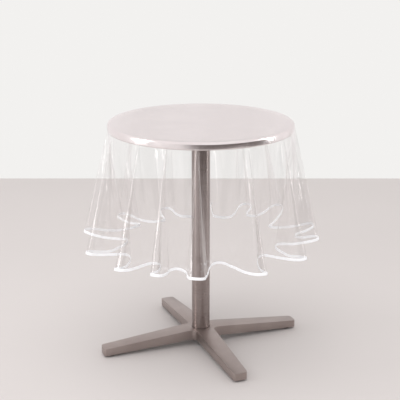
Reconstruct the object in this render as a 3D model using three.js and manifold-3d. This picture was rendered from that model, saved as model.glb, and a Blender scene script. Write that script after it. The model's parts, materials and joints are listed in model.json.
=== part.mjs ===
// A round pedestal cafe table with a round clear plastic cloth draped over it.
// Millimetres, +Z up. The origin is on the column's axis, at the floor.
// The table has a metal-clad top, a tube column and a cast base with four arms. A tie rod inside
// the column pulls the base up against the spider plate that is screwed under the top.
// The cloth lies on the top and can be lifted straight off. Each arm stands on a levelling glide.

import * as THREE from 'three';
import { mergeVertices } from 'three/addons/utils/BufferGeometryUtils.js';
import Module from 'manifold-3d';

const wasm = await Module();
wasm.setup();

// ---------- driving dimensions ----------

const GAP = 0.3; // between pieces that touch

// tabletop
const TABLE_HEIGHT = 760;
const TOP_RADIUS = 300;
const SHEET_THICKNESS = 0.9;
const RIM_HEIGHT = 24;
const RIM_CORNER_RADIUS = 8;
const RIM_CURL_RADIUS = 4;
const RIM_LIP = 8;
const CORE_THICKNESS = 16;
const BACKER_THICKNESS = 1.2;

// spider plate and its screws
const SPIDER_REACH = 125;
const SPIDER_HUB_WIDTH = 60;
const SPIDER_TIP_WIDTH = 36;
const SPIDER_TIP_CORNER = 12;
const SPIDER_ROOT_FILLET = 20;
const SPIDER_THICKNESS = 5;
const SPIDER_BOSS_RADIUS = 40;
const SPIDER_BOSS_DEPTH = 14;
const SCREW_CIRCLE_RADIUS = 108;
const SCREW_RADIUS = 2.5;
const SCREW_HEAD_RADIUS = 5;
const SCREW_HEAD_HEIGHT = 3;
const SCREW_LENGTH = 18;
const SCREW_CLEARANCE = 0.4;

// column and tie rod
const COLUMN_RADIUS = 30;
const COLUMN_WALL = 1.6;
const SPIGOT_HEIGHT = 10;
const SPIGOT_CLEARANCE = 0.5;
const TIE_ROD_RADIUS = 5;
const TIE_ROD_CLEARANCE = 0.5;
const TIE_ROD_LOW = 7;

// base casting
const ARM_COUNT = 4;
const ARM_ANGLE = 21.2; // degrees from +X to the first arm
const ARM_REACH = 345;
const ARM_HUB_WIDTH = 62;
const ARM_TIP_WIDTH = 46;
const ARM_TIP_CORNER = 11;
const ARM_ROOT_FILLET = 16;
const HUB_FLAT_RADIUS = 60; // the arms start to slope down here
const HUB_TOP = 55;
const HUB_UNDERSIDE = 22;
const TIP_TOP = 30;
const TIP_UNDERSIDE = 6;
const CASTING_WALL = 6;
const HUB_BOSS_RADIUS = 26;
const COLUMN_SEAT_DEPTH = 4;
const COLUMN_SEAT_CLEARANCE = 0.8;

// washer and nut under the hub
const WASHER_RADIUS = 22;
const WASHER_THICKNESS = 3;
const NUT_ACROSS_FLATS = 17;
const NUT_HEIGHT = 8;

// levelling glides
const GLIDE_CIRCLE_RADIUS = 318;
const GLIDE_BOSS_RADIUS = 11;
const STUD_RADIUS = 4;
const STUD_CLEARANCE = 0.4;
const STUD_LENGTH = 20;
const PAD_RADIUS = 13;
const PAD_HEIGHT = 5;

// cloth: a flat disc, draped over the top
const CLOTH_RADIUS = 700;
const FILM_THICKNESS = 0.5;
const FLAT_RADIUS = TOP_RADIUS - RIM_CORNER_RADIUS; // the cloth lies flat as far as here
const BEND_RADIUS = RIM_CORNER_RADIUS + 0.8; // of the film's middle, over the rim
const BINDING_WIDTH = 8;
const BINDING_THICKNESS = 0.5;
const BINDING_GAP = 0.5;
const VALLEY_RADIUS = 309; // every fold's inner line, clear of the rim when the cloth is lifted
const FOLD_SAMPLES = 144;
const BEND_BANDS = 3;
const SKIRT_BANDS = 3;
// each fold's ridge angle and hem radius, then the angle of the valley after it
const FOLDS = [
  { ridge: 18, radius: 405, valley: 31 },
  { ridge: 49, radius: 436, valley: 57 },
  { ridge: 65, radius: 404, valley: 75 },
  { ridge: 88, radius: 398, valley: 101 },
  { ridge: 112, radius: 370, valley: 126 },
  { ridge: 138, radius: 388, valley: 148 },
  { ridge: 168, radius: 398, valley: 186 },
  { ridge: 203, radius: 400, valley: 215 },
  { ridge: 230, radius: 412, valley: 240 },
  { ridge: 249, radius: 402, valley: 257 },
  { ridge: 268, radius: 404, valley: 282 },
  { ridge: 299, radius: 408, valley: 318 },
  { ridge: 329, radius: 390, valley: 344 },
  { ridge: 357, radius: 392, valley: 368 },
];

const ROUND_SEGMENTS = 64;
const COLUMN_SEGMENTS = 40;
const SMALL_SEGMENTS = 16;

// ---------- materials ----------

const finishes = {
  film: { color: 0xf1f4f6, roughness: 0.08, metalness: 0, transparent: true, opacity: 0.3 },
  binding: { color: 0xf5f5f2, roughness: 0.5, metalness: 0 },
  satinSteel: { color: 0xd9d4d1, roughness: 0.28, metalness: 1 },
  taupeMetal: { color: 0x9b8c87, roughness: 0.34, metalness: 1 },
  chipboard: { color: 0xb08f66, roughness: 0.9, metalness: 0 },
  laminate: { color: 0x4a4644, roughness: 0.6, metalness: 0 },
  castIron: { color: 0x2f2c2b, roughness: 0.6, metalness: 0.4 },
  zinc: { color: 0xb9bcc0, roughness: 0.35, metalness: 1 },
  blackPlastic: { color: 0x1c1c1d, roughness: 0.5, metalness: 0 },
};

// ---------- helpers ----------

const table = new THREE.Group();

function addPart(name, geometry, finish) {
  const mesh = new THREE.Mesh(geometry, new THREE.MeshStandardMaterial(finish));
  mesh.name = name;
  table.add(mesh);
  return mesh;
}

// A solid of revolution about Z. The profile is a list of [radius, height].
function revolve(profile, segments) {
  const points = profile.map(([radius, height]) => new THREE.Vector2(radius, height));
  const geometry = new THREE.LatheGeometry(points, segments);
  geometry.rotateX(Math.PI / 2);
  return geometry;
}

// A ring of rectangular section, or a disc where the inner radius is 0.
function ring(innerRadius, outerRadius, low, high, segments) {
  const profile = [[innerRadius, low], [outerRadius, low], [outerRadius, high], [innerRadius, high]];
  if (innerRadius > 0) {
    profile.push([innerRadius, low]);
  }
  return revolve(profile, segments);
}

function cylinder(radius, low, high, segments) {
  return ring(0, radius, low, high, segments);
}

// Points of a circular arc, as [radius, height], from one angle to another in degrees.
function arc(centreRadius, centreHeight, radius, fromDegrees, toDegrees, steps) {
  const points = [];
  for (let step = 0; step <= steps; step += 1) {
    const angle = THREE.MathUtils.degToRad(fromDegrees + ((toDegrees - fromDegrees) * step) / steps);
    points.push([centreRadius + radius * Math.cos(angle), centreHeight + radius * Math.sin(angle)]);
  }
  return points;
}

function extrude(shape, low, high) {
  const geometry = new THREE.ExtrudeGeometry(shape, {
    depth: high - low,
    bevelEnabled: false,
    curveSegments: 4,
  });
  geometry.translate(0, 0, low);
  return geometry;
}

function toSolid(geometry) {
  const bare = new THREE.BufferGeometry();
  bare.setAttribute('position', geometry.getAttribute('position').clone());
  if (geometry.index) {
    bare.setIndex(geometry.index.clone());
  }
  const merged = mergeVertices(bare);
  return new wasm.Manifold(
    new wasm.Mesh({
      numProp: 3,
      vertProperties: new Float32Array(merged.getAttribute('position').array),
      triVerts: new Uint32Array(merged.index.array),
    }),
  );
}

function toGeometry(solid) {
  const mesh = solid.getMesh();
  const geometry = new THREE.BufferGeometry();
  geometry.setAttribute('position', new THREE.BufferAttribute(new Float32Array(mesh.vertProperties), 3));
  geometry.setIndex(new THREE.BufferAttribute(new Uint32Array(mesh.triVerts), 1));
  geometry.computeVertexNormals();
  return geometry;
}

// A closed outline through the given corners, each rounded by its own radius.
function roundedOutline(corners) {
  const shape = new THREE.Shape();
  corners.forEach((corner, index) => {
    const before = corners[(index + corners.length - 1) % corners.length].point;
    const after = corners[(index + 1) % corners.length].point;
    const towardsBefore = before.clone().sub(corner.point).normalize();
    const towardsAfter = after.clone().sub(corner.point).normalize();
    const start = corner.point.clone().addScaledVector(towardsBefore, corner.radius);
    const end = corner.point.clone().addScaledVector(towardsAfter, corner.radius);
    if (index === 0) {
      shape.moveTo(start.x, start.y);
    } else {
      shape.lineTo(start.x, start.y);
    }
    shape.quadraticCurveTo(corner.point.x, corner.point.y, end.x, end.y);
  });
  shape.closePath();
  return shape;
}

// Unit vectors along an arm and across it.
function armDirections(index) {
  const angle = THREE.MathUtils.degToRad(ARM_ANGLE + (index * 360) / ARM_COUNT);
  const along = new THREE.Vector2(Math.cos(angle), Math.sin(angle));
  const across = new THREE.Vector2(-along.y, along.x);
  return { along, across };
}

// A cross of tapered arms with rounded tips and filleted roots, seen from above.
function crossOutline(reach, hubWidth, tipWidth, tipCorner, rootFillet) {
  const corners = [];
  for (let index = 0; index < ARM_COUNT; index += 1) {
    const { along, across } = armDirections(index);
    const place = (distance, offset) =>
      along.clone().multiplyScalar(distance).addScaledVector(across, offset);
    corners.push({ point: place(reach, -tipWidth / 2), radius: tipCorner });
    corners.push({ point: place(reach, tipWidth / 2), radius: tipCorner });
    corners.push({ point: place(hubWidth / 2, hubWidth / 2), radius: rootFillet });
  }
  return roundedOutline(corners);
}

function cylinderAt(place, radius, low, high, segments) {
  const geometry = cylinder(radius, low, high, segments);
  geometry.translate(place.x, place.y, 0);
  return geometry;
}

// ---------- heights worked out from the driving dimensions ----------

const sheetUnderside = TABLE_HEIGHT - SHEET_THICKNESS;
const coreTop = sheetUnderside - GAP;
const coreUnderside = coreTop - CORE_THICKNESS;
const backerTop = coreUnderside - GAP;
const backerUnderside = backerTop - BACKER_THICKNESS;
const spiderTop = backerUnderside - GAP;
const spiderUnderside = spiderTop - SPIDER_THICKNESS;
const spiderBossUnderside = spiderUnderside - SPIDER_BOSS_DEPTH;
const columnTop = spiderBossUnderside - GAP;
const columnSeat = HUB_TOP - COLUMN_SEAT_DEPTH;
const columnBottom = columnSeat + GAP;
const spigotRadius = COLUMN_RADIUS - COLUMN_WALL - SPIGOT_CLEARANCE;
const washerTop = HUB_UNDERSIDE - GAP;
const washerUnderside = washerTop - WASHER_THICKNESS;
const nutTop = washerUnderside - GAP;
const tieRodTop = spiderUnderside - GAP;

const screwPlaces = [];
const glidePlaces = [];
for (let index = 0; index < ARM_COUNT; index += 1) {
  const { along } = armDirections(index);
  screwPlaces.push(along.clone().multiplyScalar(SCREW_CIRCLE_RADIUS));
  glidePlaces.push(along.clone().multiplyScalar(GLIDE_CIRCLE_RADIUS));
}

// ---------- tabletop ----------

// A pressed sheet: flat on top, rounded over the corner, down the rim and curled in underneath.
function tabletopSheet() {
  const rimBottom = TABLE_HEIGHT - RIM_HEIGHT;
  const cornerCentre = TOP_RADIUS - RIM_CORNER_RADIUS;
  const cornerHeight = TABLE_HEIGHT - RIM_CORNER_RADIUS;
  const curlCentre = TOP_RADIUS - RIM_CURL_RADIUS;
  const curlHeight = rimBottom + RIM_CURL_RADIUS;
  const innerCorner = RIM_CORNER_RADIUS - SHEET_THICKNESS;
  const innerCurl = RIM_CURL_RADIUS - SHEET_THICKNESS;
  const lipEnd = TOP_RADIUS - RIM_LIP;
  const profile = [
    [0, sheetUnderside],
    ...arc(cornerCentre, cornerHeight, innerCorner, 90, 0, 4),
    ...arc(curlCentre, curlHeight, innerCurl, 0, -90, 3),
    [lipEnd, rimBottom + SHEET_THICKNESS],
    [lipEnd, rimBottom],
    ...arc(curlCentre, curlHeight, RIM_CURL_RADIUS, -90, 0, 3),
    ...arc(cornerCentre, cornerHeight, RIM_CORNER_RADIUS, 0, 90, 4),
    [0, TABLE_HEIGHT],
  ];
  return revolve(profile, ROUND_SEGMENTS);
}

function drillForScrews(solid, low, high) {
  return screwPlaces.reduce((drilled, place) => {
    const hole = cylinderAt(place, SCREW_RADIUS + SCREW_CLEARANCE, low, high, SMALL_SEGMENTS);
    return drilled.subtract(toSolid(hole));
  }, solid);
}

function tabletopCore() {
  const wallRadius = TOP_RADIUS - SHEET_THICKNESS - 2 * GAP;
  const chamfer = RIM_CORNER_RADIUS;
  const disc = revolve(
    [
      [0, coreUnderside],
      [wallRadius, coreUnderside],
      [wallRadius, coreTop - chamfer],
      [wallRadius - chamfer, coreTop],
      [0, coreTop],
    ],
    ROUND_SEGMENTS,
  );
  const pilotTop = coreUnderside + SCREW_LENGTH - SPIDER_THICKNESS;
  return drillForScrews(toSolid(disc), coreUnderside - 1, pilotTop);
}

function tabletopBacker() {
  const radius = TOP_RADIUS - RIM_LIP - 2;
  const disc = cylinder(radius, backerUnderside, backerTop, ROUND_SEGMENTS);
  return drillForScrews(toSolid(disc), backerUnderside - 1, backerTop + 1);
}

addPart('tabletop_sheet', tabletopSheet(), finishes.satinSteel);
addPart('tabletop_core', toGeometry(tabletopCore()), finishes.chipboard);
addPart('tabletop_backer', toGeometry(tabletopBacker()), finishes.laminate);

// ---------- spider plate and screws ----------

function spiderPlate() {
  const outline = crossOutline(
    SPIDER_REACH,
    SPIDER_HUB_WIDTH,
    SPIDER_TIP_WIDTH,
    SPIDER_TIP_CORNER,
    SPIDER_ROOT_FILLET,
  );
  const plate = toSolid(extrude(outline, spiderUnderside, spiderTop));
  const boss = toSolid(
    revolve(
      [
        [0, spiderBossUnderside - SPIGOT_HEIGHT],
        [spigotRadius, spiderBossUnderside - SPIGOT_HEIGHT],
        [spigotRadius, spiderBossUnderside],
        [COLUMN_RADIUS + 2, spiderBossUnderside],
        [SPIDER_BOSS_RADIUS, spiderUnderside + 1],
        [0, spiderUnderside + 1],
      ],
      COLUMN_SEGMENTS,
    ),
  );
  const threadHole = cylinder(
    TIE_ROD_RADIUS + TIE_ROD_CLEARANCE,
    spiderBossUnderside - SPIGOT_HEIGHT - 1,
    spiderUnderside + 1,
    SMALL_SEGMENTS,
  );
  const bossed = plate.add(boss).subtract(toSolid(threadHole));
  return drillForScrews(bossed, spiderUnderside - 1, spiderTop + 1);
}

// A pan-head wood screw with a hexagon socket, pointing up. Its head bears on height 0.
function spiderScrew() {
  const body = revolve(
    [
      [0, -SCREW_HEAD_HEIGHT],
      [SCREW_HEAD_RADIUS * 0.7, -SCREW_HEAD_HEIGHT],
      [SCREW_HEAD_RADIUS, -SCREW_HEAD_HEIGHT * 0.4],
      [SCREW_HEAD_RADIUS, 0],
      [SCREW_RADIUS, 0],
      [SCREW_RADIUS, SCREW_LENGTH - 4],
      [0, SCREW_LENGTH],
    ],
    SMALL_SEGMENTS,
  );
  const socket = cylinder(SCREW_HEAD_RADIUS * 0.4, -SCREW_HEAD_HEIGHT - 1, -SCREW_HEAD_HEIGHT * 0.4, 6);
  return toGeometry(toSolid(body).subtract(toSolid(socket)));
}

addPart('spider_plate', toGeometry(spiderPlate()), finishes.castIron);
screwPlaces.forEach((place, index) => {
  const screw = addPart(`spider_screw_${index + 1}`, spiderScrew(), finishes.zinc);
  screw.position.set(place.x, place.y, spiderUnderside - GAP);
});

// ---------- column and tie rod ----------

addPart(
  'column_tube',
  ring(COLUMN_RADIUS - COLUMN_WALL, COLUMN_RADIUS, columnBottom, columnTop, COLUMN_SEGMENTS),
  finishes.taupeMetal,
);
addPart('tie_rod', cylinder(TIE_ROD_RADIUS, TIE_ROD_LOW, tieRodTop, SMALL_SEGMENTS), finishes.zinc);

// ---------- base casting ----------

// The side of two opposite arms: distance along the arms, height. The drop moves the upper
// edge down, and the depth moves the lower edge.
function armSide(reach, topDrop, undersideDepth) {
  const shape = new THREE.Shape();
  shape.moveTo(-reach, TIP_UNDERSIDE - undersideDepth);
  shape.lineTo(-HUB_FLAT_RADIUS, HUB_UNDERSIDE - undersideDepth);
  shape.lineTo(HUB_FLAT_RADIUS, HUB_UNDERSIDE - undersideDepth);
  shape.lineTo(reach, TIP_UNDERSIDE - undersideDepth);
  shape.lineTo(reach, TIP_TOP - topDrop);
  shape.lineTo(HUB_FLAT_RADIUS, HUB_TOP - topDrop);
  shape.lineTo(-HUB_FLAT_RADIUS, HUB_TOP - topDrop);
  shape.lineTo(-reach, TIP_TOP - topDrop);
  shape.closePath();
  return shape;
}

// Two crossed bars with the arms' side outline, wide enough to fill the filleted roots.
function crossedBars(topDrop, undersideDepth) {
  const halfWidth = HUB_FLAT_RADIUS - 5;
  const bars = [0, 1].map((index) => {
    const bar = new THREE.ExtrudeGeometry(armSide(ARM_REACH + 1, topDrop, undersideDepth), {
      depth: 2 * halfWidth,
      bevelEnabled: false,
    });
    bar.translate(0, 0, -halfWidth);
    bar.rotateX(Math.PI / 2);
    bar.rotateZ(THREE.MathUtils.degToRad(ARM_ANGLE + index * 90));
    return toSolid(bar);
  });
  return bars[0].add(bars[1]);
}

function baseCasting() {
  const outline = crossOutline(ARM_REACH, ARM_HUB_WIDTH, ARM_TIP_WIDTH, ARM_TIP_CORNER, ARM_ROOT_FILLET);
  const hollowOutline = crossOutline(
    ARM_REACH - CASTING_WALL,
    ARM_HUB_WIDTH - 2 * CASTING_WALL,
    ARM_TIP_WIDTH - 2 * CASTING_WALL,
    ARM_TIP_CORNER / 2,
    ARM_ROOT_FILLET,
  );
  const blank = toSolid(extrude(outline, 0, HUB_TOP + 1)).intersect(crossedBars(0, 0));
  const hollowBars = crossedBars(CASTING_WALL, HUB_UNDERSIDE);
  const hollow = toSolid(extrude(hollowOutline, -1, HUB_TOP)).intersect(hollowBars);
  let bosses = toSolid(cylinder(HUB_BOSS_RADIUS, HUB_UNDERSIDE, HUB_TOP - 1, COLUMN_SEGMENTS));
  glidePlaces.forEach((place) => {
    const boss = cylinderAt(place, GLIDE_BOSS_RADIUS, TIP_UNDERSIDE + 2, TIP_TOP - 2, SMALL_SEGMENTS);
    bosses = bosses.add(toSolid(boss));
  });
  const seatRadius = COLUMN_RADIUS + COLUMN_SEAT_CLEARANCE;
  const rodHoleRadius = TIE_ROD_RADIUS + TIE_ROD_CLEARANCE;
  const seat = cylinder(seatRadius, columnSeat, HUB_TOP + 1, COLUMN_SEGMENTS);
  const spigot = cylinder(spigotRadius, columnSeat - 1, columnSeat + SPIGOT_HEIGHT, COLUMN_SEGMENTS);
  const rodHole = cylinder(rodHoleRadius, 0, HUB_TOP + SPIGOT_HEIGHT, SMALL_SEGMENTS);
  let casting = blank.subtract(hollow.subtract(bosses));
  casting = casting.subtract(toSolid(seat)).add(toSolid(spigot)).subtract(toSolid(rodHole));
  glidePlaces.forEach((place) => {
    const holeTop = PAD_HEIGHT + STUD_LENGTH + 2;
    const hole = cylinderAt(place, STUD_RADIUS + STUD_CLEARANCE, 0, holeTop, SMALL_SEGMENTS);
    casting = casting.subtract(toSolid(hole));
  });
  return casting;
}

addPart('base_casting', toGeometry(baseCasting()), finishes.taupeMetal);

// ---------- washer and nut on the tie rod ----------

function rodNut() {
  const shape = new THREE.Shape();
  const cornerRadius = NUT_ACROSS_FLATS / Math.sqrt(3);
  for (let corner = 0; corner < 6; corner += 1) {
    const angle = (corner * Math.PI) / 3;
    const x = cornerRadius * Math.cos(angle);
    const y = cornerRadius * Math.sin(angle);
    if (corner === 0) {
      shape.moveTo(x, y);
    } else {
      shape.lineTo(x, y);
    }
  }
  shape.closePath();
  const bore = new THREE.Path();
  bore.absarc(0, 0, TIE_ROD_RADIUS + TIE_ROD_CLEARANCE, 0, 2 * Math.PI, true);
  shape.holes.push(bore);
  return extrude(shape, nutTop - NUT_HEIGHT, nutTop);
}

addPart(
  'rod_washer',
  ring(TIE_ROD_RADIUS + TIE_ROD_CLEARANCE, WASHER_RADIUS, washerUnderside, washerTop, SMALL_SEGMENTS),
  finishes.zinc,
);
addPart('rod_nut', rodNut(), finishes.zinc);

// ---------- levelling glides ----------

const padProfile = [
  [0, 0],
  [PAD_RADIUS - 1, 0],
  [PAD_RADIUS, 1],
  [PAD_RADIUS, PAD_HEIGHT - 1.5],
  [PAD_RADIUS - 3, PAD_HEIGHT],
  [0, PAD_HEIGHT],
];
const studProfile = [
  [0, PAD_HEIGHT + GAP],
  [STUD_RADIUS, PAD_HEIGHT + GAP],
  [STUD_RADIUS, PAD_HEIGHT + STUD_LENGTH - 1],
  [STUD_RADIUS - 1, PAD_HEIGHT + STUD_LENGTH],
  [0, PAD_HEIGHT + STUD_LENGTH],
];
glidePlaces.forEach((place, index) => {
  const stud = addPart(`glide_stud_${index + 1}`, revolve(studProfile, SMALL_SEGMENTS), finishes.zinc);
  const pad = addPart(`glide_pad_${index + 1}`, revolve(padProfile, SMALL_SEGMENTS), finishes.blackPlastic);
  stud.position.set(place.x, place.y, 0);
  pad.position.set(place.x, place.y, 0);
});

// ---------- cloth ----------

const filmMiddle = TABLE_HEIGHT + GAP + FILM_THICKNESS / 2;
const edgeRadius = FLAT_RADIUS + BEND_RADIUS; // where the cloth leaves the rim
const edgeHeight = filmMiddle - BEND_RADIUS;
const bendEnd = FLAT_RADIUS + (BEND_RADIUS * Math.PI) / 2;
const drop = CLOTH_RADIUS - bendEnd;

// The hem's distance from the axis in a direction: a smooth wave from ridge to valley to ridge.
function hemRadius(degrees) {
  const last = FOLDS[FOLDS.length - 1];
  const firstValley = last.valley - 360;
  const turned = firstValley + THREE.MathUtils.euclideanModulo(degrees - firstValley, 360);
  const index = FOLDS.findIndex((fold) => turned <= fold.valley);
  const fold = FOLDS[index];
  const valleyBefore = index === 0 ? firstValley : FOLDS[index - 1].valley;
  const rising = turned < fold.ridge;
  const span = rising ? fold.ridge - valleyBefore : fold.valley - fold.ridge;
  const share = Math.abs(turned - fold.ridge) / span;
  return VALLEY_RADIUS + (fold.radius - VALLEY_RADIUS) * (0.5 + 0.5 * Math.cos(Math.PI * share));
}

// The middle of the film where it hangs, for a distance and a direction on the flat cloth. The
// skirt hangs in straight lines from the rim to the hem.
function filmPoint(distance, degrees) {
  let radius = distance;
  let height = filmMiddle;
  if (distance >= bendEnd) {
    const outward = (hemRadius(degrees) - edgeRadius) / drop;
    const hung = distance - bendEnd;
    radius = edgeRadius + outward * hung;
    height = edgeHeight - Math.sqrt(1 - outward * outward) * hung;
  } else if (distance > FLAT_RADIUS) {
    const bend = (distance - FLAT_RADIUS) / BEND_RADIUS;
    radius = FLAT_RADIUS + BEND_RADIUS * Math.sin(bend);
    height = edgeHeight + BEND_RADIUS * Math.cos(bend);
  }
  const angle = THREE.MathUtils.degToRad(degrees);
  return new THREE.Vector3(radius * Math.cos(angle), radius * Math.sin(angle), height);
}

// The direction the film's upper side faces there.
function filmNormal(distance, degrees) {
  if (distance <= FLAT_RADIUS) {
    return new THREE.Vector3(0, 0, 1);
  }
  const foldStep = 360 / FOLD_SAMPLES;
  const along = filmPoint(distance + 1, degrees).sub(filmPoint(distance - 1, degrees));
  const around = filmPoint(distance, degrees + foldStep).sub(filmPoint(distance, degrees - foldStep));
  return along.cross(around).normalize();
}

// Revolves a section of the flat cloth, then moves every point to its place in the drape. Both
// sides of the film are split into triangles along the same diagonals, so they stay parallel.
function draped(flatProfile) {
  const geometry = revolve(flatProfile, FOLD_SAMPLES);
  const position = geometry.getAttribute('position');
  const count = flatProfile.length;
  const place = new THREE.Vector3();
  for (let index = 0; index < position.count; index += 1) {
    const [distance, offset] = flatProfile[index % count];
    const degrees = (Math.floor(index / count) % FOLD_SAMPLES) * (360 / FOLD_SAMPLES);
    place.copy(filmNormal(distance, degrees)).multiplyScalar(offset);
    place.add(filmPoint(distance, degrees));
    position.setXYZ(index, place.x, place.y, place.z);
  }
  const triangles = [];
  for (let column = 0; column < FOLD_SAMPLES; column += 1) {
    for (let row = 0; row < count - 1; row += 1) {
      const near = column * count + row;
      const next = near + count;
      if (flatProfile[row + 1][0] >= flatProfile[row][0]) {
        triangles.push(near, next, near + 1, next + 1, near + 1, next);
      } else {
        triangles.push(near, next, next + 1, near, next + 1, near + 1);
      }
    }
  }
  geometry.setIndex(triangles);
  geometry.computeVertexNormals();
  return geometry;
}

function clothFilm() {
  const half = FILM_THICKNESS / 2;
  const bindingEdge = CLOTH_RADIUS - BINDING_WIDTH;
  const distances = [FLAT_RADIUS];
  for (let band = 1; band <= BEND_BANDS; band += 1) {
    distances.push(FLAT_RADIUS + ((bendEnd - FLAT_RADIUS) * band) / BEND_BANDS);
  }
  for (let band = 1; band <= SKIRT_BANDS; band += 1) {
    distances.push(bendEnd + ((bindingEdge - bendEnd) * band) / SKIRT_BANDS);
  }
  distances.push(CLOTH_RADIUS);
  const underside = distances.map((distance) => [distance, -half]);
  const upperSide = distances.map((distance) => [distance, half]).reverse();
  return draped([[0, -half], ...underside, ...upperSide, [0, half]]);
}

// A tape folded round the film's edge, as a channel section.
function clothBinding() {
  const inner = FILM_THICKNESS / 2 + BINDING_GAP;
  const outer = inner + BINDING_THICKNESS;
  const open = CLOTH_RADIUS - BINDING_WIDTH;
  const closed = CLOTH_RADIUS + BINDING_GAP;
  return draped([
    [open, -outer],
    [closed + BINDING_THICKNESS, -outer],
    [closed + BINDING_THICKNESS, outer],
    [open, outer],
    [open, inner],
    [closed, inner],
    [closed, -inner],
    [open, -inner],
    [open, -outer],
  ]);
}

addPart('cloth_film', clothFilm(), finishes.film);
addPart('cloth_binding', clothBinding(), finishes.binding);

export default table;
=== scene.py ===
"""A round clear tablecloth draped over a pedestal cafe table. Metres, +Z up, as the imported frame."""

import json
import math

import bmesh
import bpy
import numpy as np
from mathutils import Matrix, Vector


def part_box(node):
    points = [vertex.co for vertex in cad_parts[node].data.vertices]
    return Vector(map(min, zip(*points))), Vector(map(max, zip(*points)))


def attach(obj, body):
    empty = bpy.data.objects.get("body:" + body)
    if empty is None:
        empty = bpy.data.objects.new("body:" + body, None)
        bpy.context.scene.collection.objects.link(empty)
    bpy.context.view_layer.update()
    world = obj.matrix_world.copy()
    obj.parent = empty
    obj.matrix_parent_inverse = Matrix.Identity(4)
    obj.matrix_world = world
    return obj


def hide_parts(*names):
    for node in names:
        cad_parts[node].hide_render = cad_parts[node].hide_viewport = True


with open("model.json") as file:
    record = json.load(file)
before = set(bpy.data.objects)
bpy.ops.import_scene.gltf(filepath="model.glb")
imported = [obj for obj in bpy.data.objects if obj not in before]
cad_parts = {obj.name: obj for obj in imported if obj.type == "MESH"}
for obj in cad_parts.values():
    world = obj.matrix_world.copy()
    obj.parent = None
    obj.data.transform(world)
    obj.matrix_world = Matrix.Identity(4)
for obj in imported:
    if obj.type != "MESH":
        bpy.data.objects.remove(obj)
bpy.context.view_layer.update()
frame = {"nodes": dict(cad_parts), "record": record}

MM = 0.001


# ---------------------------------------------------------------- sizes, from the frame

def across(node):
    low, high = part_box(node)
    return high.x - low.x


sheet_low, sheet_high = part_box("tabletop_sheet")
column_low, column_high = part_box("column_tube")

TOP_RADIUS = across("tabletop_sheet") / 2
TOP_HEIGHT = sheet_high.z
RIM_BOTTOM = sheet_low.z
RIM_CORNER = 8 * MM
RIM_CURL = 4 * MM
RIM_LIP = 8 * MM
SHEET_THICKNESS = 0.9 * MM
COLUMN_WALL = 1.6 * MM
COLUMN_RADIUS = across("column_tube") / 2
CLOTH_RADIUS = 0.700  # of the flat disc, as cut
BINDING_WIDTH = 8 * MM


# ---------------------------------------------------------------- camera

CAMERA_DISTANCE = 3.399
CAMERA_HEIGHT = 1.494
CAMERA_PITCH = 16.34  # degrees below the horizon
CAMERA_LENS = 97.37  # mm
CAMERA_SENSOR = 36  # mm
CAMERA_SIDE = -2.8 * MM


def make_camera():
    data = bpy.data.cameras.new("camera")
    data.lens = CAMERA_LENS
    data.sensor_width = CAMERA_SENSOR
    camera = bpy.data.objects.new("camera", data)
    camera.location = (CAMERA_SIDE, -CAMERA_DISTANCE, CAMERA_HEIGHT)
    camera.rotation_euler = (math.radians(90 - CAMERA_PITCH), 0, 0)
    bpy.context.scene.collection.objects.link(camera)
    bpy.context.scene.camera = camera


make_camera()


# ---------------------------------------------------------------- material helpers

# the sockets of a Mix node that mixes colours
MIX_FACTOR, MIX_FIRST, MIX_SECOND, MIX_RESULT = 0, 6, 7, 2

# a noise keeps mostly to this range
NOISE_LOW, NOISE_HIGH = 0.3, 0.7


def add_node(tree, kind, inputs=None, **settings):
    """A new node. An input that is given a socket is linked to it; any other is set."""
    node = tree.nodes.new(kind)
    for key, value in settings.items():
        setattr(node, key, value)
    for key, value in (inputs or {}).items():
        if isinstance(value, bpy.types.NodeSocket):
            tree.links.new(value, node.inputs[key])
        else:
            node.inputs[key].default_value = value
    return node


class Nodes:
    """A short way to write a node material."""

    def __init__(self, name):
        self.material = bpy.data.materials.new(name)
        self.material.use_nodes = True
        self.tree = self.material.node_tree
        self.tree.nodes.clear()
        self.output = self.add("ShaderNodeOutputMaterial")

    def add(self, kind, inputs=None, **settings):
        return add_node(self.tree, kind, inputs, **settings)

    def position(self, scale=(1, 1, 1)):
        """The point's place in the piece's own frame, stretched."""
        coordinates = self.add("ShaderNodeTexCoord")
        mapping = self.add(
            "ShaderNodeMapping", {"Vector": coordinates.outputs["Object"], "Scale": scale}
        )
        return mapping.outputs["Vector"]

    def noise(self, vector, scale, detail=3.0, roughness=0.5):
        node = self.add(
            "ShaderNodeTexNoise",
            {"Vector": vector, "Scale": scale, "Detail": detail, "Roughness": roughness},
        )
        return node.outputs["Fac"]

    def ramp(self, factor, low, high, from_value=0.0, to_value=1.0):
        """Maps factor from low..high to from_value..to_value, clamped."""
        node = self.add(
            "ShaderNodeMapRange",
            {
                "Value": factor,
                "From Min": low,
                "From Max": high,
                "To Min": from_value,
                "To Max": to_value,
            },
        )
        return node.outputs["Result"]

    def spread(self, noise, from_value=0.0, to_value=1.0):
        """Maps a noise's usual range to from_value..to_value."""
        return self.ramp(noise, NOISE_LOW, NOISE_HIGH, from_value, to_value)

    def mix(self, factor, first, second):
        inputs = {MIX_FACTOR: factor, MIX_FIRST: first, MIX_SECOND: second}
        return self.add("ShaderNodeMix", inputs, data_type="RGBA").outputs[MIX_RESULT]

    def bump(self, height, distance, strength=1.0):
        node = self.add(
            "ShaderNodeBump", {"Height": height, "Distance": distance, "Strength": strength}
        )
        return node.outputs["Normal"]

    def finish(self, shader):
        self.tree.links.new(shader.outputs[0], self.output.inputs["Surface"])
        return self.material


def rgb(red, green, blue):
    """A colour given as sRGB bytes, as linear RGBA."""
    def linear(byte):
        value = byte / 255
        return value / 12.92 if value <= 0.04045 else ((value + 0.055) / 1.055) ** 2.4
    return (linear(red), linear(green), linear(blue), 1.0)


def put_material(piece, material):
    piece.data.materials.clear()
    piece.data.materials.append(material)


# ---------------------------------------------------------------- stage and light

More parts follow.
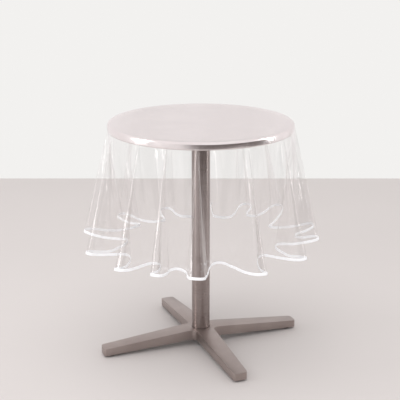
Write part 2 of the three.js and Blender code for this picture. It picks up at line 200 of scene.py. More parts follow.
FLOOR_HALF = 2.1
BRIGHT_SIDE = (0.89, 0.88, 0.865, 1)
DIM_SIDE = (0.12, 0.10, 0.095, 1)
DIM_HEADING = (0.62, -0.78, 0.0)
DIM_FROM, DIM_FULL = 0.35, 0.8  # how near to that heading, as a cosine
DIM_TOP, DIM_BOTTOM = 0.3, 0.12  # the zone fades out between these heights, as a sine
BAND_SHADE = (0.80, 0.77, 0.765, 1)
BAND_LIGHT = (1.03, 1.0, 1.0, 1)
BAND_STRETCH = (11, 2, 0.8)  # of the bands' noise, so that they stand upright
BAND_FROM, BAND_TO = 0.35, 0.65


def make_floor():
    mesh = bpy.data.meshes.new("floor")
    sheet = bmesh.new()
    bmesh.ops.create_grid(sheet, x_segments=1, y_segments=1, size=FLOOR_HALF)
    sheet.to_mesh(mesh)
    sheet.free()
    floor = bpy.data.objects.new("floor", mesh)
    bpy.context.scene.collection.objects.link(floor)
    nodes = Nodes("floor_paint")
    cloudy = nodes.noise(nodes.position(), 1.5, 3)
    shader = nodes.add("ShaderNodeBsdfPrincipled", {
        "Base Color": nodes.mix(cloudy, rgb(209, 203, 202), rgb(214, 208, 207)),
        "Roughness": 0.6,
        "Specular IOR Level": 0.2,
    })
    put_material(floor, nodes.finish(shader))


def make_world():
    """White all round. What the object mirrors is less even: curtain-like bands, and a dim zone low
    down in front on the right, which gives the metal its dark streaks."""
    world = bpy.data.worlds.new("studio")
    bpy.context.scene.world = world
    world.use_nodes = True
    world.node_tree.nodes.clear()

    def add(kind, inputs=None, **settings):
        return add_node(world.node_tree, kind, inputs, **settings)

    heading = add("ShaderNodeTexCoord").outputs["Generated"]
    height = add("ShaderNodeSeparateXYZ", {0: heading}).outputs["Z"]
    toward = add("ShaderNodeVectorMath", {0: heading, 1: DIM_HEADING}, operation="DOT_PRODUCT")
    beside = add("ShaderNodeMapRange", {
        "Value": toward.outputs["Value"], "From Min": DIM_FROM, "From Max": DIM_FULL,
    }, interpolation_type="SMOOTHSTEP")
    low = add("ShaderNodeMapRange", {
        "Value": height, "From Min": DIM_TOP, "From Max": DIM_BOTTOM,
    }, interpolation_type="SMOOTHSTEP")
    dimness = add("ShaderNodeMath", {
        0: beside.outputs["Result"], 1: low.outputs["Result"],
    }, operation="MULTIPLY")
    stretched = add("ShaderNodeMapping", {"Vector": heading, "Scale": BAND_STRETCH})
    bands = add("ShaderNodeTexNoise", {
        "Vector": stretched.outputs["Vector"], "Scale": 1.0, "Detail": 2.0,
    })
    banded = add("ShaderNodeMapRange", {
        "Value": bands.outputs["Fac"], "From Min": BAND_FROM, "From Max": BAND_TO,
    })
    curtain = add("ShaderNodeMix", {
        MIX_FACTOR: banded.outputs["Result"], MIX_FIRST: BAND_SHADE, MIX_SECOND: BAND_LIGHT,
    }, data_type="RGBA")
    mirrored = add("ShaderNodeMix", {
        MIX_FACTOR: dimness.outputs["Value"],
        MIX_FIRST: curtain.outputs[MIX_RESULT],
        MIX_SECOND: DIM_SIDE,
    }, data_type="RGBA")
    looking = add("ShaderNodeLightPath")
    colour = add("ShaderNodeMix", {
        MIX_FACTOR: looking.outputs["Is Glossy Ray"],
        MIX_FIRST: BRIGHT_SIDE,
        MIX_SECOND: mirrored.outputs[MIX_RESULT],
    }, data_type="RGBA")
    background = add("ShaderNodeBackground", {"Color": colour.outputs[MIX_RESULT]})
    add("ShaderNodeOutputWorld", {"Surface": background.outputs[0]})


def make_softbox(name, place, target, width, height, power, mirrored=True, lights=True):
    """A rectangle of light; mirrored: it shows in gloss, lights: it lights matt surfaces."""
    data = bpy.data.lights.new(name, "AREA")
    data.shape = "RECTANGLE"
    data.size = width
    data.size_y = height
    data.energy = power
    light = bpy.data.objects.new(name, data)
    light.location = place
    light.rotation_euler = (Vector(target) - Vector(place)).to_track_quat("-Z", "Y").to_euler()
    light.visible_glossy = mirrored
    light.visible_diffuse = lights
    bpy.context.scene.collection.objects.link(light)


make_floor()
make_world()
make_softbox("ceiling", (-0.3, -0.2, 3.2), (0, 0, 0), 2.4, 2.4, 28, mirrored=False)
make_softbox("left_window", (-2.9, -0.8, 1.7), (0, 0, 0.5), 0.8, 2.4, 9)
make_softbox("fill", (-0.8, -3.4, 2.4), (0, 0, 0.4), 2.0, 2.0, 14, mirrored=False)
make_softbox("left_glint", (-2.6, -0.75, 1.4), (0, 0, 0.5), 0.7, 2.6, 22, lights=False)
make_softbox("right_glint", (2.6, -0.1, 1.4), (0, 0, 0.5), 0.3, 2.6, 16, lights=False)
bpy.context.scene.view_settings.view_transform = "Standard"


# ---------------------------------------------------------------- materials

FILM_STRAIGHT = 0.085  # how much of the film shows, seen straight on
FILM_GRAZING = 0.97  # and seen along its surface
FILM_HAZE = 0.02
GRAZING_POWER = 5.0


def film_material():
    """Clear film: a mirror at grazing angles, nearly nothing seen straight on, with a faint haze."""
    nodes = Nodes("clear_film")
    weight = nodes.add("ShaderNodeLayerWeight", {"Blend": 0.5})
    grazing = nodes.add(
        "ShaderNodeMath", {0: weight.outputs["Facing"], 1: GRAZING_POWER}, operation="POWER"
    )
    haze = nodes.noise(nodes.position(), 9, 4)
    mirror = nodes.ramp(grazing.outputs["Value"], 0.0, 1.0, FILM_STRAIGHT, FILM_GRAZING)
    cover = nodes.add(
        "ShaderNodeMath", {0: mirror, 1: nodes.spread(haze, 0.0, FILM_HAZE)}, operation="ADD"
    )
    ripple = nodes.noise(nodes.position((14, 14, 2)), 1.0, 2)
    fine = nodes.noise(nodes.position(), 260, 2)
    surface = nodes.add("ShaderNodeBump", {
        "Height": fine,
        "Distance": 0.02 * MM,
        "Normal": nodes.bump(ripple, 4 * MM, 0.6),
    })
    shader = nodes.add("ShaderNodeBsdfPrincipled", {
        "Base Color": rgb(240, 236, 236),
        "Metallic": 0.8,
        "Roughness": nodes.spread(haze, 0.06, 0.14),
        "Alpha": cover.outputs["Value"],
        "Normal": surface.outputs["Normal"],
    })
    return nodes.finish(shader)


# painted light: a faint glow painted into the tape to brighten it
TAPE_GLOW = 0.11  # stands for the light that comes through the thin tape


def tape_material():
    nodes = Nodes("white_tape")
    weave = nodes.noise(nodes.position(), 1800, 1)
    shader = nodes.add("ShaderNodeBsdfPrincipled", {
        "Base Color": nodes.mix(weave, rgb(246, 248, 252), rgb(252, 253, 255)),
        "Roughness": nodes.spread(weave, 0.4, 0.6),
        "Normal": nodes.bump(weave, 0.1 * MM),
        # painted light: the tape glows a little, lifting its shaded parts
        "Emission Color": rgb(250, 251, 255),
        "Emission Strength": TAPE_GLOW,
    })
    return nodes.finish(shader)


def steel_material():
    """Satin pressed steel, faintly swirled, as a polished cafe tabletop is."""
    nodes = Nodes("satin_steel")
    place = nodes.position()
    cloudy = nodes.noise(place, 5, 4, 0.6)
    swirls = nodes.noise(nodes.position((9, 90, 9)), 1.0, 3)
    fine = nodes.noise(nodes.position((40, 1400, 40)), 1.0, 2)
    tone = nodes.spread(cloudy, 0.0, 0.6)
    colour = nodes.mix(tone, rgb(250, 244, 244), rgb(237, 230, 230))
    surface = nodes.add("ShaderNodeBump", {
        "Height": fine,
        "Distance": 0.01 * MM,
        "Normal": nodes.bump(swirls, 0.6 * MM, 0.5),
    })
    shader = nodes.add("ShaderNodeBsdfPrincipled", {
        "Base Color": colour,
        "Metallic": 1.0,
        "Roughness": nodes.spread(cloudy, 0.16, 0.26),
        "Normal": surface.outputs["Normal"],
    })
    return nodes.finish(shader)


def taupe_material(name, darker, lighter, roughness, stretch, anisotropy):
    """Warm grey lacquered metal with a fine brushed grain."""
    nodes = Nodes(name)
    brushing = nodes.noise(nodes.position(stretch), 1.0, 2)
    cloudy = nodes.noise(nodes.position(), 14, 3)
    colour = nodes.mix(nodes.spread(cloudy), darker, lighter)
    tangent = nodes.add("ShaderNodeTangent", direction_type="RADIAL", axis="Z")
    shader = nodes.add("ShaderNodeBsdfPrincipled", {
        "Base Color": colour,
        "Metallic": 0.92,
        "Roughness": nodes.spread(brushing, roughness - 0.03, roughness + 0.05),
        "Anisotropic": anisotropy,
        "Anisotropic Rotation": 0.25,
        "Tangent": tangent.outputs["Tangent"],
        "Normal": nodes.bump(brushing, 0.008 * MM),
    })
    return nodes.finish(shader)


WORN_SHARE = 0.82  # of its colour that a worn patch keeps


def plain_material(name, colour, metallic, roughness):
    """A mottled finish, a little worn in places."""
    nodes = Nodes(name)
    mottle = nodes.noise(nodes.position(), 300, 3)
    wear = nodes.noise(nodes.position(), 40, 4)
    worn = tuple(WORN_SHARE * part for part in colour[:3]) + (1.0,)
    shader = nodes.add("ShaderNodeBsdfPrincipled", {
        "Base Color": nodes.mix(nodes.spread(wear), worn, colour),
        "Metallic": metallic,
        "Roughness": nodes.spread(mottle, roughness - 0.06, roughness + 0.06),
        "Normal": nodes.bump(mottle, 0.05 * MM),
    })
    return nodes.finish(shader)


def thread_material():
    nodes = Nodes("white_thread")
    twist = nodes.noise(nodes.position(), 2600, 1)
    shader = nodes.add("ShaderNodeBsdfPrincipled", {
        "Base Color": nodes.mix(twist, rgb(232, 233, 236), rgb(246, 247, 249)),
        "Roughness": nodes.spread(twist, 0.55, 0.7),
        "Normal": nodes.bump(twist, 0.05 * MM),
    })
    return nodes.finish(shader)


clear_film = film_material()
thread = thread_material()
white_tape = tape_material()
satin_steel = steel_material()
taupe_metal = taupe_material(
    "taupe_metal", rgb(148, 137, 134), rgb(158, 147, 144), 0.3, (20, 20, 900), 0.75
)
taupe_cast = taupe_material(
    "taupe_cast", rgb(160, 148, 144), rgb(170, 158, 154), 0.36, (420, 420, 420), 0.0
)
slot_materials = {
    "clear_film": clear_film,
    "white_tape": white_tape,
    "satin_steel": satin_steel,
    "taupe_metal": taupe_metal,
    "taupe_cast": taupe_cast,
    "chipboard": plain_material("chipboard", rgb(176, 143, 102), 0.0, 0.85),
    "laminate": plain_material("laminate", rgb(74, 70, 68), 0.0, 0.6),
    "black_iron": plain_material("black_iron", rgb(47, 44, 43), 0.3, 0.6),
    "zinc": plain_material("zinc", rgb(185, 188, 192), 1.0, 0.35),
    "black_plastic": plain_material("black_plastic", rgb(28, 28, 29), 0.0, 0.5),
}
for subpart in frame["record"]["subparts"]:
    put_material(frame["nodes"][subpart["node"]], slot_materials[subpart["material_slot"]])


# ---------------------------------------------------------------- the drape

FLAT_RADIUS = TOP_RADIUS - RIM_CORNER  # the cloth lies flat on the top as far as here
CLEARANCE = 0.5 * MM  # of the film's middle from the metal
SETTLING_FRAMES = 14
SOLVER_GAP = 1 * MM  # the least the cloth solver keeps, from the film and again from the table
CORNER_HEIGHT = TOP_HEIGHT - RIM_CORNER
CURL_HEIGHT = RIM_BOTTOM + RIM_CURL
CORNER_BEND = RIM_CORNER + CLEARANCE
CURL_BEND = RIM_CURL + CLEARANCE
CORNER_PATH = CORNER_BEND * math.pi / 2
SIDE_PATH = CORNER_HEIGHT - CURL_HEIGHT
EDGE_RADIUS = TOP_RADIUS + CLEARANCE

COLUMNS = 576  # round the cloth while it is simulated; the finished film has twice as many
RIM_ROWS = 12
SKIRT_ROWS = 44
RIM_ZONE = 36 * MM  # of cloth past the flat part that gets the closer rows
FREE_SHARE = 0.10  # of the cloth between two ridges that fans out evenly, not from a ridge's tip
SOFTENING = 12 * MM  # how far along the hem the film's stiffness blunts a ridge's tip

# each fold's ridge (direction in degrees, hem radius in metres), then the valley after it
FOLDS = [
    (18, 0.407, 31, 0.290),
    (49, 0.440, 57, 0.331),
    (65, 0.408, 74, 0.251),
    (88, 0.385, 101, 0.264),
    (111, 0.365, 126, 0.234),
    (138, 0.386, 147, 0.260),
    (170, 0.397, 186, 0.247),
    (204, 0.398, 214, 0.282),
    (232, 0.414, 240, 0.280),
    (250, 0.403, 256, 0.303),
    (268, 0.416, 282, 0.247),
    (297, 0.410, 318, 0.257),
    (327, 0.390, 344, 0.258),
    (359, 0.391, 367, 0.328),
]
SPLINE_STEPS = 40
TURN_WIDTH = 30 * MM  # across the end of a fold at the hem
HEM_SOFTENING = 7 * MM
BLUR_TAIL = 3  # how many times its reach a smoothing goes
LEAN_PASSES = 12
TINY = 1e-12


def spline_through(points):
    """A closed centripetal Catmull-Rom curve through the points."""
    count = len(points)
    spans = []
    for index in range(count):
        p0, p1, p2, p3 = (points[(index + shift) % count] for shift in (-1, 0, 1, 2))
        t1 = np.linalg.norm(p1 - p0) ** 0.5
        t2 = t1 + np.linalg.norm(p2 - p1) ** 0.5
        t3 = t2 + np.linalg.norm(p3 - p2) ** 0.5
        t = np.linspace(t1, t2, SPLINE_STEPS, endpoint=False)[:, None]
        a1 = (t1 - t) / t1 * p0 + t / t1 * p1
        a2 = (t2 - t) / (t2 - t1) * p1 + (t - t1) / (t2 - t1) * p2
        a3 = (t3 - t) / (t3 - t2) * p2 + (t - t2) / (t3 - t2) * p3
        b1 = (t2 - t) / t2 * a1 + t / t2 * a2
        b2 = (t3 - t) / (t3 - t1) * a2 + (t - t1) / (t3 - t1) * a3
        spans.append((t2 - t) / (t2 - t1) * b1 + (t - t1) / (t2 - t1) * b2)
    return np.concatenate(spans)


def hem_outline():
    """The hem seen from above, turning round at each ridge and at each valley."""
    controls = []
    for ridge, ridge_radius, valley, valley_radius in FOLDS:
        for degrees, radius in ((ridge, ridge_radius), (valley, valley_radius)):
            for side in (-0.5, 0.5):
                angle = math.radians(degrees) + side * TURN_WIDTH / radius
                controls.append(np.array([radius * math.cos(angle), radius * math.sin(angle)]))
    return spline_through(controls)


def steps_of(outline):
    return np.linalg.norm(np.roll(outline, -1, axis=0) - outline, axis=1)


def evenly(outline):
    """The outline as COLUMNS even points, how far along it the ridges and the valleys are, and its
    length."""
    along = np.concatenate([[0], np.cumsum(steps_of(outline))])
    wanted = np.arange(COLUMNS) / COLUMNS * along[-1]
    closed = np.vstack([outline, outline[:1]])
    points = np.stack([np.interp(wanted, along, closed[:, axis]) for axis in (0, 1)], axis=1)
    turns = along[SPLINE_STEPS // 2 :: 2 * SPLINE_STEPS]
    return blurred(points, HEM_SOFTENING, along[-1]), turns[0::2], turns[1::2], along[-1]


def blurred(values, reach, length):
    """Values round the cloth, smoothed over a distance along the hem."""
    columns = int(BLUR_TAIL * reach / length * COLUMNS)
    offsets = np.arange(-columns, columns + 1)
    weights = np.exp(-0.5 * (offsets / COLUMNS * length / reach) ** 2)
    weights /= weights.sum()
    return sum(weight * np.roll(values, shift, axis=0) for shift, weight in zip(offsets, weights))


def rim_directions(ridges, valleys, length):
    """The direction on the rim from which each hem point hangs.

    Between two ridges the cloth hangs in nearly parallel lines, as wide as the rim it covers. What
    is left over fans out from one place on the rim and stands out as the ridge.
    """
    along = np.arange(COLUMNS) / COLUMNS * length
    direction = np.zeros(COLUMNS)
    count = len(FOLDS)
    for index, fold in enumerate(FOLDS):
        start = math.radians(fold[0])
        turn = math.radians((FOLDS[(index + 1) % count][0] - fold[0]) % 360)
        span = (ridges[(index + 1) % count] - ridges[index]) % length
        middle = (valleys[index] - ridges[index]) % length
        width = turn * EDGE_RADIUS
        from_ridge = (along - ridges[index]) % length
        here = from_ridge < span
        hanging = np.clip((from_ridge - middle) / width + 0.5, 0, 1)
        share = FREE_SHARE * from_ridge / span + (1 - FREE_SHARE) * hanging
        direction = np.where(here, start + turn * share, direction)
    # where the numbering starts, the direction is carried past the full turn
    direction = np.unwrap(direction)
    even = np.arange(COLUMNS) / COLUMNS * 2 * math.pi
    return even + blurred(direction - even, SOFTENING, length)


def rim_path(distance):
    """Radius and height of cloth that lies against the rim, by its distance from the middle."""
    past = distance - FLAT_RADIUS
    corner = np.clip(past / CORNER_BEND, 0, math.pi / 2)
    side = np.clip(past - CORNER_PATH, 0, SIDE_PATH)
    curl = np.clip((past - CORNER_PATH - SIDE_PATH) / CURL_BEND, 0, math.pi / 2)
    radius = FLAT_RADIUS + np.minimum(past, 0) + CORNER_BEND * np.sin(corner)
    radius -= CURL_BEND * (1 - np.cos(curl))
    height = CORNER_HEIGHT + CORNER_BEND * np.cos(corner) - side - CURL_BEND * np.sin(curl)
    return radius, height


def leaving_distance(lean):
    """Where on its way round the rim the cloth leaves it, hanging at this angle from level."""
    corner = np.minimum(lean, math.pi / 2)
    curl = np.maximum(lean - math.pi / 2, 0)
    return FLAT_RADIUS + CORNER_BEND * corner + np.where(curl > 0, SIDE_PATH, 0) + CURL_BEND * curl


def hang(direction, hem, material):
    """For each column: where it leaves the rim, where its hem point is, and how far it hangs."""
    outward = np.stack([np.cos(direction), np.sin(direction)], axis=1)
    lean = np.full(COLUMNS, math.pi / 2)
    for _ in range(LEAN_PASSES):
        leaving = leaving_distance(lean)
        radius, height = rim_path(leaving)
        plan = hem - radius[:, None] * outward
        turned = np.cos(material - direction)
        hung = np.sqrt(CLOTH_RADIUS**2 + leaving**2 - 2 * CLOTH_RADIUS * leaving * turned)
        fall = np.sqrt(hung**2 - (plan**2).sum(axis=1))
        lean = 0.5 * lean + 0.5 * np.arctan2(fall, (plan * outward).sum(axis=1))
    bottom = np.column_stack([hem, height - fall])
    top = np.column_stack([radius[:, None] * outward, height])
    return top, bottom, leaving, hung


RIPPLE_HEIGHT = 0.9 * MM
RIPPLE_COUNTS = (37, 53, 71, 97, 131)  # round the cloth
RIPPLE_ONSET = 0.25  # the share of the way down over which they grow to their height


def ripples(rows, down):
    """Small waves that run down the hanging cloth and wander a little sideways on the way."""
    column = np.arange(rows.shape[1]) / rows.shape[1] * 2 * math.pi
    around = np.roll(rows, -1, axis=1) - np.roll(rows, 1, axis=1)
    facing = np.cross(np.gradient(rows, axis=0), around)
    facing /= np.maximum(np.linalg.norm(facing, axis=2, keepdims=True), TINY)
    wave = np.zeros(rows.shape[:2])
    for number, count in enumerate(RIPPLE_COUNTS):
        wander = 0.6 * np.sin(2.1 * down + number) + 0.25 * number * down
        strength = 0.5 + 0.5 * np.sin((number + 2) * column + 1.7 * number)
        wave += strength * np.sin(count * column + wander + 5.3 * number)
    growth = np.minimum(down / RIPPLE_ONSET, 1) * (1 - 0.5 * down)
    return facing * (wave * growth * RIPPLE_HEIGHT)[..., None]


def start_of_drape():
    """Rows of points from the edge of the flat part to the hem, folded as the cloth hangs, then the
    same points on the cloth laid flat, and how far down the free part each of them is."""
    hem, ridges, valleys, length = evenly(hem_outline())
    direction = rim_directions(ridges, valleys, length)
    material = np.arange(COLUMNS) / COLUMNS * 2 * math.pi
    material += (direction - material).mean()
    top, bottom, leaving, hung = hang(direction, hem, material)
    whole = leaving - FLAT_RADIUS + hung
    rim_shares = np.linspace(0, RIM_ZONE / whole.mean(), RIM_ROWS, endpoint=False)
    shares = np.concatenate([rim_shares, np.linspace(RIM_ZONE / whole.mean(), 1, SKIRT_ROWS + 1)])
    outward = np.stack([np.cos(direction), np.sin(direction)], axis=1)
    flat_top = leaving[:, None] * outward
    flat_hem = CLOTH_RADIUS * np.stack([np.cos(material), np.sin(material)], axis=1)
    rows, flat, hanging = [], [], []
    for share in shares:
        distance = FLAT_RADIUS + share * whole
        radius, height = rim_path(np.minimum(distance, leaving))
        against = np.column_stack([radius[:, None] * outward, height])
        down = np.clip((distance - leaving) / hung, 0, 1)
        free = top + (bottom - top) * down[:, None]
        touching = (distance <= leaving)[:, None]
        rows.append(np.where(touching, against, free))
        laid = flat_top + (flat_hem - flat_top) * down[:, None]
        laid = np.where(touching, distance[:, None] * outward, laid)
        flat.append(np.column_stack([laid, np.full(COLUMNS, TOP_HEIGHT)]))
        hanging.append(down)
    return np.array(rows), np.array(flat), np.array(hanging)


CENTRE_HOLE = 0.1 * MM  # the radius at which a revolved profile stops
SETTLING = {
    "quality": 6,
    "mass": 0.02,
    "tension_stiffness": 60,
    "compression_stiffness": 60,
    "shear_stiffness": 20,
    "bending_stiffness": 1.2,
    "tension_damping": 25,
    "compression_damping": 25,
    "shear_damping": 15,
    "bending_damping": 2,
    "air_damping": 6,
}
PINNED_ROWS = 2
TABLE_FRICTION = 8


def settling_profile():
    """A solid tabletop, smaller all round by what the solver adds to it."""
    shrink = 2 * SOLVER_GAP - CLEARANCE
    curl_radius = TOP_RADIUS - RIM_CURL
    profile = [(CENTRE_HOLE, TOP_HEIGHT - shrink)]
    profile += arc(FLAT_RADIUS, CORNER_HEIGHT, RIM_CORNER - shrink, 90, 0)
    profile += arc(curl_radius, CURL_HEIGHT, RIM_CURL - shrink, 0, -90)
    return profile + [(CENTRE_HOLE, RIM_BOTTOM + shrink)]


def settle(rows, flat):
    """Lets the folded film settle for a moment as a stiff cloth against the table's edge."""
    count = len(rows)
    film = new_piece("settling_film", rows.reshape(-1, 3), grid_faces(count, COLUMNS), clear_film)
    film.shape_key_add(name="hung")
    as_cut = film.shape_key_add(name="as_cut")
    as_cut.data.foreach_set("co", flat.reshape(-1))
    pinned = film.vertex_groups.new(name="pinned")
    pinned.add(list(range(PINNED_ROWS * COLUMNS)), 1.0, "REPLACE")
    collider = revolve("settling_table", settling_profile(), clear_film)
    collider.modifiers.new("solid", "COLLISION")
    collider.collision.thickness_outer = SOLVER_GAP
    collider.collision.cloth_friction = TABLE_FRICTION
    cloth = film.modifiers.new("cloth", "CLOTH")
    cloth.settings.rest_shape_key = as_cut
    cloth.settings.vertex_group_mass = "pinned"
    for setting, value in SETTLING.items():
        setattr(cloth.settings, setting, value)
    cloth.collision_settings.distance_min = SOLVER_GAP
    cloth.collision_settings.use_self_collision = False
    scene = bpy.context.scene
    for frame_number in range(1, SETTLING_FRAMES + 1):
        scene.frame_set(frame_number)
    settled = film.evaluated_get(bpy.context.evaluated_depsgraph_get()).data
    points = np.empty(count * COLUMNS * 3)
    settled.vertices.foreach_get("co", points)
    scene.frame_set(1)
    bpy.data.objects.remove(film)
    bpy.data.objects.remove(collider)
    return points.reshape(count, COLUMNS, 3)


def doubled(values):
    """Twice as many columns, the new ones on a smooth curve through their neighbours."""
    before, after = np.roll(values, 1, axis=-2), np.roll(values, -1, axis=-2)
    beyond = np.roll(values, -2, axis=-2)
    between = (9 * (values + after) - before - beyond) / 16
    both = np.stack([values, between], axis=-2)
    return both.reshape(*values.shape[:-2], -1, values.shape[-1])


def grid_faces(rows, columns):
    index = np.arange(rows * columns).reshape(rows, columns)
    right = np.roll(index, -1, axis=1)
    quads = np.stack([index[1:], right[1:], right[:-1], index[:-1]], axis=-1)
    return quads.reshape(-1, 4)


# ---------------------------------------------------------------- pieces

def new_piece(name, vertices, faces, material):
    mesh = bpy.data.meshes.new(name)
    mesh.from_pydata([tuple(v) for v in vertices], [], [tuple(f) for f in faces])
    mesh.validate()
    mesh.polygons.foreach_set("use_smooth", [True] * len(mesh.polygons))
    piece = bpy.data.objects.new(name, mesh)
    bpy.context.scene.collection.objects.link(piece)
    put_material(piece, material)
    return piece


INNER_RINGS = 10  # of the flat part


def make_film():
    columns = drape.shape[1]
    shares = [ring / INNER_RINGS for ring in range(1, INNER_RINGS)]
    rings = [drape[0] * (share, share, 1) for share in shares]
    rows = np.concatenate([np.array(rings), drape])
    vertices = rows.reshape(-1, 3)
    faces = [list(quad) for quad in grid_faces(len(rows), columns)]
    centre = len(vertices)
    vertices = np.vstack([vertices, [0, 0, TOP_HEIGHT + CLEARANCE]])
    for column in range(columns):
        faces.append([centre, column, (column + 1) % columns])
    return new_piece("cloth_film_sheet", vertices, faces, clear_film)


TAPE_HALF = 0.7 * MM  # half the thickness of the tape and film together


def hem_frame():
    """At each column's hem point: the point, along the hem, out of the film, and down the film."""
    edge = drape[-1]
    down = edge - drape[-2]
    down /= np.linalg.norm(down, axis=1, keepdims=True)
    along = np.roll(edge, -1, axis=0) - np.roll(edge, 1, axis=0)
    along /= np.linalg.norm(along, axis=1, keepdims=True)
    out = np.cross(down, along)
    out /= np.linalg.norm(out, axis=1, keepdims=True)
    return edge, along, out, down


def make_binding():
    """The white tape, folded over the film's edge."""
    edge, _, out, down = hem_frame()
    # each corner's side, in half thicknesses, and its height above the film's edge
    section = (
        (-0.7, BINDING_WIDTH), (-1, BINDING_WIDTH - 0.5 * MM), (-1, 0), (-0.6, -0.6 * MM),
        (0.6, -0.6 * MM), (1, 0), (1, BINDING_WIDTH - 0.5 * MM), (0.7, BINDING_WIDTH),
    )
    loops = np.array([edge + out * side * TAPE_HALF - down * rise for side, rise in section])
    count = len(section)
    index = np.arange(count * len(edge)).reshape(count, len(edge))
    below = np.roll(index, -1, axis=0)
    faces = np.stack(
        [index, np.roll(index, -1, axis=1), np.roll(below, -1, axis=1), below], axis=-1
    )
    return new_piece("cloth_binding_tape", loops.reshape(-1, 3), faces.reshape(-1, 4), white_tape)


ROUND_SEGMENTS = 256


def revolve(name, profile, material):
    """A closed ring of the profile, a loop of (radius, height) points, round the Z axis."""
    angles = np.arange(ROUND_SEGMENTS) / ROUND_SEGMENTS * 2 * math.pi
    loops = np.array([
        np.column_stack([r * np.cos(angles), r * np.sin(angles), np.full(ROUND_SEGMENTS, z)])
        for r, z in profile
    ])
    count = len(profile)
    index = np.arange(count * ROUND_SEGMENTS).reshape(count, ROUND_SEGMENTS)
    after = np.roll(index, -1, axis=0)
    faces = np.stack(
        [index, after, np.roll(after, -1, axis=1), np.roll(index, -1, axis=1)], axis=-1
    )
    return new_piece(name, loops.reshape(-1, 3), faces.reshape(-1, 4), material)


def arc(radius, height, bend, start, end, steps=10):
    """Points of a circular arc, from one angle to another in degrees."""
    turns = [math.radians(start + (end - start) * step / steps) for step in range(steps + 1)]
    return [(radius + bend * math.cos(turn), height + bend * math.sin(turn)) for turn in turns]


def tabletop_profile():
    """The pressed sheet: a flat top, a rounded edge, and a rim curled in underneath."""
    curl_radius = TOP_RADIUS - RIM_CURL
    lip_radius = curl_radius - RIM_LIP
    inner = RIM_CORNER - SHEET_THICKNESS
    inner_curl = RIM_CURL - SHEET_THICKNESS
    crisp = 1 * MM  # rings this close to a bend keep the flat part flat in its shading
    underside = TOP_HEIGHT - SHEET_THICKNESS
    outside = [(CENTRE_HOLE, TOP_HEIGHT), (crisp, TOP_HEIGHT), (FLAT_RADIUS - crisp, TOP_HEIGHT)]
    outside += arc(FLAT_RADIUS, CORNER_HEIGHT, RIM_CORNER, 90, 0)
    outside += arc(curl_radius, CURL_HEIGHT, RIM_CURL, 0, -90)
    outside += arc(lip_radius, RIM_BOTTOM + SHEET_THICKNESS / 2, SHEET_THICKNESS / 2, -90, -270, 6)
    inside = arc(curl_radius, CURL_HEIGHT, inner_curl, -90, 0)
    inside += arc(FLAT_RADIUS, CORNER_HEIGHT, inner, 0, 90)
    inside += [(FLAT_RADIUS - crisp, underside), (crisp, underside), (CENTRE_HOLE, underside)]
    return outside + inside


def make_column():
    """The column tube, with its ends eased."""
    ease = 0.6 * MM
    inner = COLUMN_RADIUS - COLUMN_WALL
    profile = [(inner, column_low.z), (inner, column_high.z)]
    profile += arc(COLUMN_RADIUS - ease, column_high.z - ease, ease, 90, 0, 4)
    profile += arc(COLUMN_RADIUS - ease, column_low.z + ease, ease, 0, -90, 4)
    return revolve("column_brushed_tube", profile, taupe_metal)


CASTING_EDGE = 2.2 * MM
SHARP_ANGLE = math.radians(35)  # a sharper edge than this is rounded
FLAT_ANGLE = math.radians(1)  # facets that bend less than this are joined


def make_base():
    """The casting, with every sharp edge rounded as a sand casting's are."""
    mesh = frame["nodes"]["base_casting"].data.copy()
    shape = bmesh.new()
    shape.from_mesh(mesh)
    shape.transform(frame["nodes"]["base_casting"].matrix_world)
    bmesh.ops.remove_doubles(shape, verts=shape.verts, dist=0.01 * MM)
    bmesh.ops.dissolve_limit(
        shape, angle_limit=FLAT_ANGLE, verts=shape.verts, edges=shape.edges
    )
    shape.to_mesh(mesh)
    shape.free()
    base = bpy.data.objects.new("base_rounded_casting", mesh)
    bpy.context.scene.collection.objects.link(base)
    bevel = base.modifiers.new("edges", "BEVEL")
    bevel.width = CASTING_EDGE
    bevel.segments = 3
    bevel.limit_method = "ANGLE"
    bevel.angle_limit = SHARP_ANGLE
    bevel.harden_normals = True
    mesh.polygons.foreach_set("use_smooth", [True] * len(mesh.polygons))
    put_material(base, taupe_cast)
    return base


def add_refined_parts():
    tabletop = revolve("tabletop_rolled_sheet", tabletop_profile(), satin_steel)
    for piece, node, slot in (
        (tabletop, "tabletop_sheet", "satin_steel"),
        (make_column(), "column_tube", "taupe_metal"),
        (make_base(), "base_casting", "taupe_cast"),
    ):
        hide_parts(node)
        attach(piece, "table")


STITCH_LENGTH = 3.2 * MM
STITCH_PITCH = 4.4 * MM
STITCH_RISE = 6 * MM  # of the seam above the edge
THREAD_RADIUS = 0.25 * MM


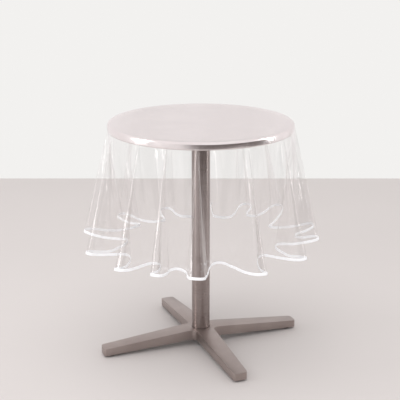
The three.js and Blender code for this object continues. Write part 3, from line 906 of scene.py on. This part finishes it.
def make_stitches():
    """One row of thread on each side of the tape, a small rounded bead for each stitch."""
    edge, along, out, down = hem_frame()
    seam = edge - down * STITCH_RISE
    gone = np.concatenate([[0], np.cumsum(steps_of(seam))])
    count = int(gone[-1] / STITCH_PITCH)
    wanted = (np.arange(count) + 0.5) / count * gone[-1]

    def at(values):
        closed = np.vstack([values, values[:1]])
        return np.stack([np.interp(wanted, gone, closed[:, axis]) for axis in range(3)], axis=1)

    centre, along, out, down = at(seam), at(along), at(out), at(down)
    corners = 6  # an end's two faces below need six
    # along the stitch, in stitch lengths, and how thick the thread is there
    stations = ((-0.5, 0.35), (-0.3, 0.9), (0.3, 0.9), (0.5, 0.35))
    vertices, faces = [], []
    for side in (-1, 1):
        middle = centre + out * side * TAPE_HALF
        for share, swell in stations:
            for corner in range(corners):
                turn = corner / corners * 2 * math.pi
                spoke = (out * math.cos(turn) + down * math.sin(turn)) * THREAD_RADIUS * swell
                vertices.append(middle + along * share * STITCH_LENGTH + spoke)
    per_side = len(stations) * corners
    for side in range(2):
        for station in range(len(stations) - 1):
            for corner in range(corners):
                first = side * per_side + station * corners
                second = first + corners
                after = (corner + 1) % corners
                faces.append((first + corner, first + after, second + after, second + corner))
        for end in (0, len(stations) - 1):
            ring = side * per_side + end * corners
            faces.append((ring, ring + 1, ring + 2, ring + 3))
            faces.append((ring, ring + 3, ring + 4, ring + 5))
    per_stitch = len(vertices)
    points = np.stack(vertices, axis=1).reshape(-1, 3)
    quads = np.array(faces)[None] + np.arange(count)[:, None, None] * per_stitch
    return new_piece("cloth_binding_stitches", points, quads.reshape(-1, 4), thread)


# ---------------------------------------------------------------- the finished scene

add_refined_parts()
hung, flat, hanging = start_of_drape()
settled = settle(hung, flat)
drape = doubled(settled)
drape += ripples(drape, doubled(hanging[..., None])[..., 0])
film = make_film()
binding = make_binding()
stitches = make_stitches()
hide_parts("cloth_film")
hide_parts("cloth_binding")
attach(film, "cloth")
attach(binding, "cloth")
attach(stitches, "cloth")

# a look along the skirt passes through many layers of film
bpy.context.scene.cycles.transparent_max_bounces = 64
